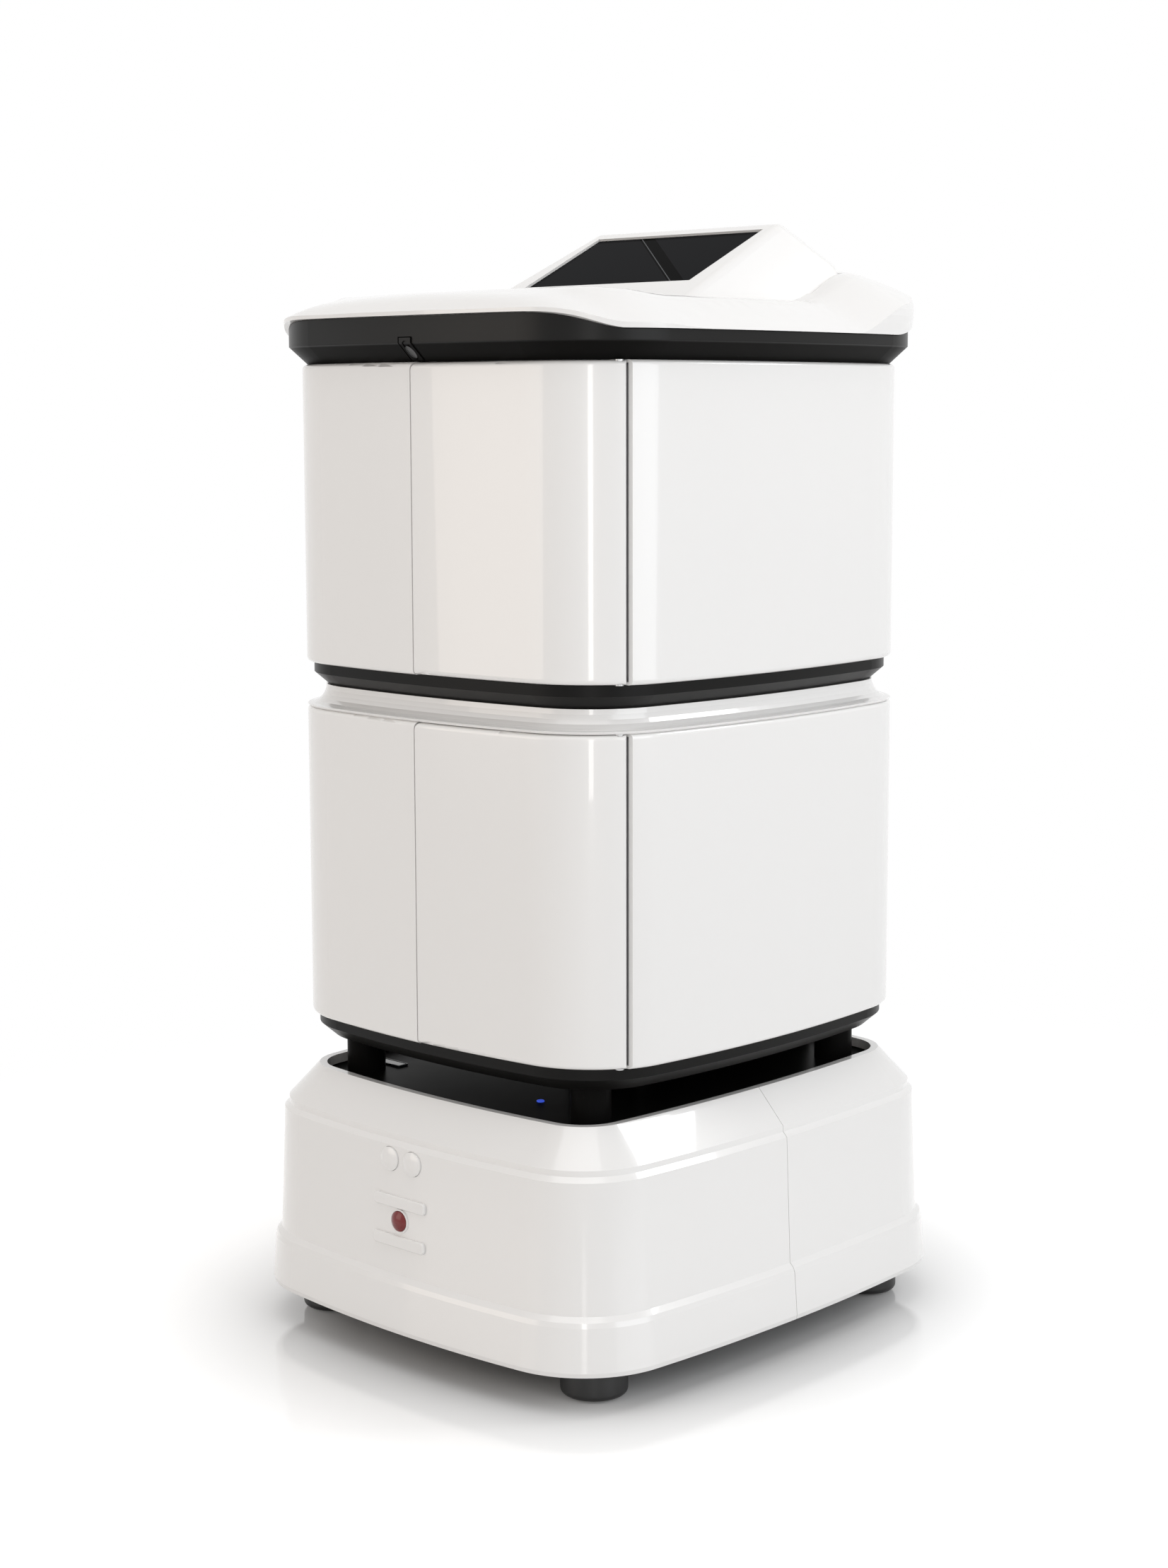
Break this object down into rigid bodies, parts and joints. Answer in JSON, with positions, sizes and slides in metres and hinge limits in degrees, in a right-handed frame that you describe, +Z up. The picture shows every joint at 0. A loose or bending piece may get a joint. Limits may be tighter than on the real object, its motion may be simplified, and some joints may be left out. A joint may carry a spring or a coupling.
{
  "type": "autonomous mobile robot",
  "caption": "Upright wheeled delivery robot with stacked door compartments, a lidar gap above its base and a hinged lid with a sloping touch display.",
  "frame": {"origin": "on the floor, on the vertical line through the middle of the base", "axes": "+Z up; the front with the display and the stop button faces -Y; +X is the viewer's right when looking at the front"},
  "size_m": [0.552, 0.6258, 1.1637],
  "materials": {
    "white_shell": "gloss white",
    "black_trim": "satin black",
    "chassis_paint": "black powder coat",
    "battery_case": "anodised dark",
    "unit_case": "fine texture",
    "lidar_cover": "gloss smoke",
    "smoked_window": "gloss smoke",
    "blue_lamp": "gloss",
    "red_cap": "gloss red",
    "pivot_steel": "ground",
    "liner_plastic": "matt light grey",
    "soft_rubber": "matt",
    "screen_glass": "gloss black cover glass",
    "module_plastic": "matt",
    "arm_casting": "as cast",
    "motor_paint": "black",
    "hub_casting": "machined",
    "tyre_rubber": "matt",
    "cup_steel": "satin",
    "caster_plastic": "satin"
  },
  "bodies": {
    "chassis": {"base_cover_front": "white_shell", "base_cover_rear": "white_shell", "lower_shell_left": "white_shell", "lower_shell_right": "white_shell", "upper_shell_left": "white_shell", "upper_shell_right": "white_shell", "lower_neck": "white_shell", "guard_bars": "white_shell", "stop_ring": "white_shell", "deck_plate": "black_trim", "support_posts": "black_trim", "lower_tray": "black_trim", "upper_tray": "black_trim", "collar": "black_trim", "head_deck": "black_trim", "lidar_base": "black_trim", "switch_block": "black_trim", "chassis_frame": "chassis_paint", "battery_pack": "battery_case", "control_unit": "unit_case", "deck_window": "smoked_window", "status_led": "blue_lamp", "lower_door_pivots": "pivot_steel", "upper_door_pivots": "pivot_steel", "lower_liner": "liner_plastic", "upper_liner": "liner_plastic", "lower_door_seal": "soft_rubber", "upper_door_seal": "soft_rubber", "lid_hinge_pins": "pivot_steel", "caster_races": "pivot_steel", "rubber_spring_left": "soft_rubber", "rubber_spring_right": "soft_rubber"},
    "lower_door_leaf": {"lower_door": "white_shell"},
    "upper_door_leaf": {"upper_door": "white_shell"},
    "lid": {"lid_shell": "white_shell", "lid_panel": "black_trim", "display_hood": "white_shell", "screen_glass": "screen_glass", "display_module": "module_plastic"},
    "latch_tab": {"latch": "black_trim"},
    "button_left": {"front_button_left": "white_shell"},
    "button_right": {"front_button_right": "white_shell"},
    "stop": {"stop_button": "red_cap"},
    "lidar": {"lidar_head": "lidar_cover"},
    "arm_left": {"drive_arm_left": "arm_casting", "drive_motor_left": "motor_paint"},
    "wheel_left": {"drive_hub_left": "hub_casting", "drive_tyre_left": "tyre_rubber"},
    "arm_right": {"drive_arm_right": "arm_casting", "drive_motor_right": "motor_paint"},
    "wheel_right": {"drive_hub_right": "hub_casting", "drive_tyre_right": "tyre_rubber"},
    "swivel_front_left": {"caster_cup_front_left": "cup_steel"},
    "roller_front_left": {"caster_wheel_front_left": "caster_plastic"},
    "swivel_front_right": {"caster_cup_front_right": "cup_steel"},
    "roller_front_right": {"caster_wheel_front_right": "caster_plastic"},
    "swivel_rear_left": {"caster_cup_rear_left": "cup_steel"},
    "roller_rear_left": {"caster_wheel_rear_left": "caster_plastic"},
    "swivel_rear_right": {"caster_cup_rear_right": "cup_steel"},
    "roller_rear_right": {"caster_wheel_rear_right": "caster_plastic"}
  },
  "joints": [
    {"name": "lower_door_hinge", "type": "hinge", "parent": "chassis", "child": "lower_door_leaf", "pos_m": [0.21962, -0.209, 0.498], "axis": [0, 0, 1], "range_deg": [0, 100]},
    {"name": "upper_door_hinge", "type": "hinge", "parent": "chassis", "child": "upper_door_leaf", "pos_m": [0.21962, -0.209, 0.86375], "axis": [0, 0, 1], "range_deg": [0, 100]},
    {"name": "lid_hinge", "type": "hinge", "parent": "chassis", "child": "lid", "pos_m": [0, 0.2934, 1.0555], "axis": [-1, 0, 0], "range_deg": [0, 65]},
    {"name": "latch_press", "type": "slide", "parent": "chassis", "child": "latch_tab", "axis": [0, 1, 0], "range_m": [0, 0.003], "stiffness_N_per_m": 900, "springref_m": -0.002},
    {"name": "left_button_press", "type": "slide", "parent": "chassis", "child": "button_left", "axis": [0, 1, 0], "range_m": [0, 0.002], "stiffness_N_per_m": 1200, "springref_m": -0.001},
    {"name": "right_button_press", "type": "slide", "parent": "chassis", "child": "button_right", "axis": [0, 1, 0], "range_m": [0, 0.002], "stiffness_N_per_m": 1200, "springref_m": -0.001},
    {"name": "stop_button_press", "type": "slide", "parent": "chassis", "child": "stop", "axis": [0, 1, 0], "range_m": [0, 0.004], "stiffness_N_per_m": 1500, "springref_m": -0.002},
    {"name": "lidar_spin", "type": "hinge", "parent": "chassis", "child": "lidar", "pos_m": [0, 0, 0.29], "axis": [0, 0, 1], "continuous": true},
    {"name": "left_suspension", "type": "hinge", "parent": "chassis", "child": "arm_left", "pos_m": [-0.135, 0.095, 0.075], "axis": [1, 0, 0], "range_deg": [-3, 3], "stiffness_Nm_per_rad": 40, "springref_deg": 10.89, "deforming": ["rubber_spring_left"]},
    {"name": "left_wheel_spin", "type": "hinge", "parent": "arm_left", "child": "wheel_left", "pos_m": [-0.17, 0, 0.075], "axis": [1, 0, 0], "continuous": true},
    {"name": "right_suspension", "type": "hinge", "parent": "chassis", "child": "arm_right", "pos_m": [0.135, 0.095, 0.075], "axis": [1, 0, 0], "range_deg": [-3, 3], "stiffness_Nm_per_rad": 40, "springref_deg": 10.89, "deforming": ["rubber_spring_right"]},
    {"name": "right_wheel_spin", "type": "hinge", "parent": "arm_right", "child": "wheel_right", "pos_m": [0.17, 0, 0.075], "axis": [1, 0, 0], "continuous": true},
    {"name": "front_left_swivel", "type": "hinge", "parent": "chassis", "child": "swivel_front_left", "pos_m": [-0.195, -0.22, 0.04], "axis": [0, 0, 1], "continuous": true},
    {"name": "front_left_roll", "type": "hinge", "parent": "swivel_front_left", "child": "roller_front_left", "pos_m": [-0.195, -0.214, 0.015], "axis": [1, 0, 0], "continuous": true},
    {"name": "front_right_swivel", "type": "hinge", "parent": "chassis", "child": "swivel_front_right", "pos_m": [0.195, -0.22, 0.04], "axis": [0, 0, 1], "continuous": true},
    {"name": "front_right_roll", "type": "hinge", "parent": "swivel_front_right", "child": "roller_front_right", "pos_m": [0.195, -0.214, 0.015], "axis": [1, 0, 0], "continuous": true},
    {"name": "rear_left_swivel", "type": "hinge", "parent": "chassis", "child": "swivel_rear_left", "pos_m": [-0.195, 0.22, 0.04], "axis": [0, 0, 1], "continuous": true},
    {"name": "rear_left_roll", "type": "hinge", "parent": "swivel_rear_left", "child": "roller_rear_left", "pos_m": [-0.195, 0.226, 0.015], "axis": [1, 0, 0], "continuous": true},
    {"name": "rear_right_swivel", "type": "hinge", "parent": "chassis", "child": "swivel_rear_right", "pos_m": [0.195, 0.22, 0.04], "axis": [0, 0, 1], "continuous": true},
    {"name": "rear_right_roll", "type": "hinge", "parent": "swivel_rear_right", "child": "roller_rear_right", "pos_m": [0.195, 0.226, 0.015], "axis": [1, 0, 0], "continuous": true}
  ]
}
